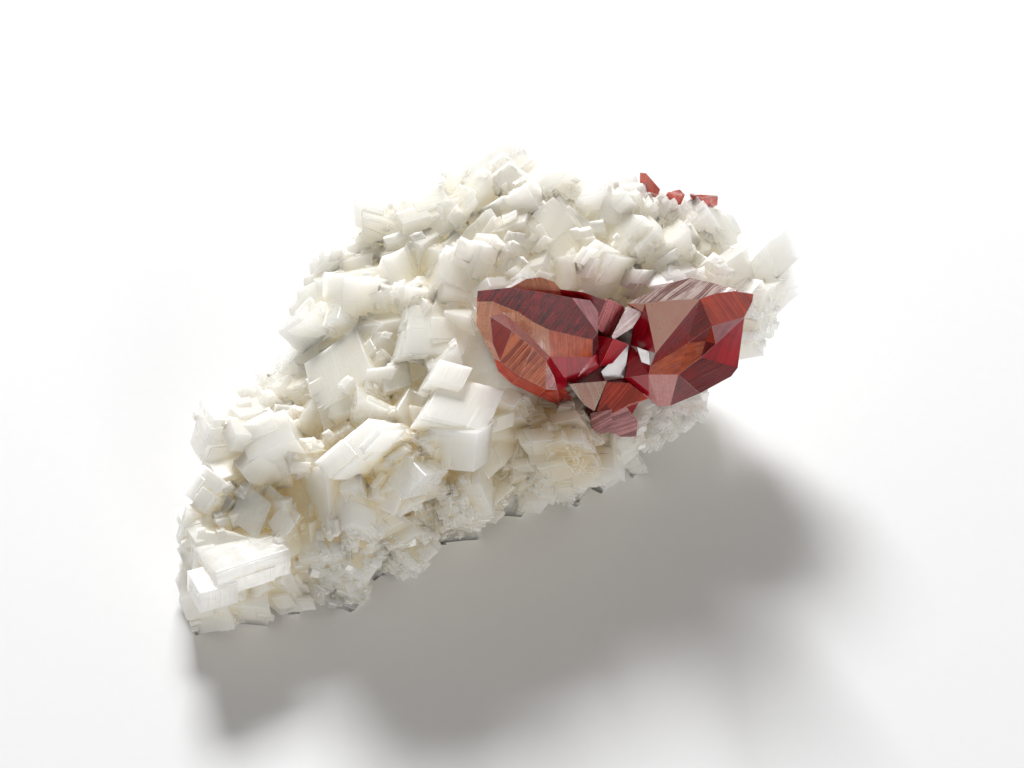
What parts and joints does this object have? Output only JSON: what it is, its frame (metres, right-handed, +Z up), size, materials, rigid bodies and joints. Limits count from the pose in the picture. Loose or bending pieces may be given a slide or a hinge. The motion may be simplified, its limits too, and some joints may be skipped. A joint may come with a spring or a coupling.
{
  "type": "cinnabar on matrix",
  "caption": "Mineral specimen: a twinned deep red cinnabar crystal seated on a crust of pale dolomite rhombs over massive dolomite, with a flat base.",
  "frame": {"origin": "middle of the base of the specimen's box, on the plane of the flat broken face it stands on", "axes": "+X along the specimen's length, towards the overhanging end; +Y away from the side that carries the cinnabar; +Z up, across its least dimension"},
  "size_m": [0.0615, 0.0461, 0.0257],
  "materials": {
    "dolomite": "milky white to cream translucent rhombs with pearly faces",
    "cinnabar": "deep red, clear to dark crystal with an adamantine lustre and striated faces"
  },
  "bodies": {
    "root": {"dolomite_matrix": "dolomite", "cinnabar_twin": "cinnabar", "rear_cinnabar_blade": "cinnabar", "rear_cinnabar_left": "cinnabar", "rear_cinnabar_right": "cinnabar"}
  },
  "joints": []
}
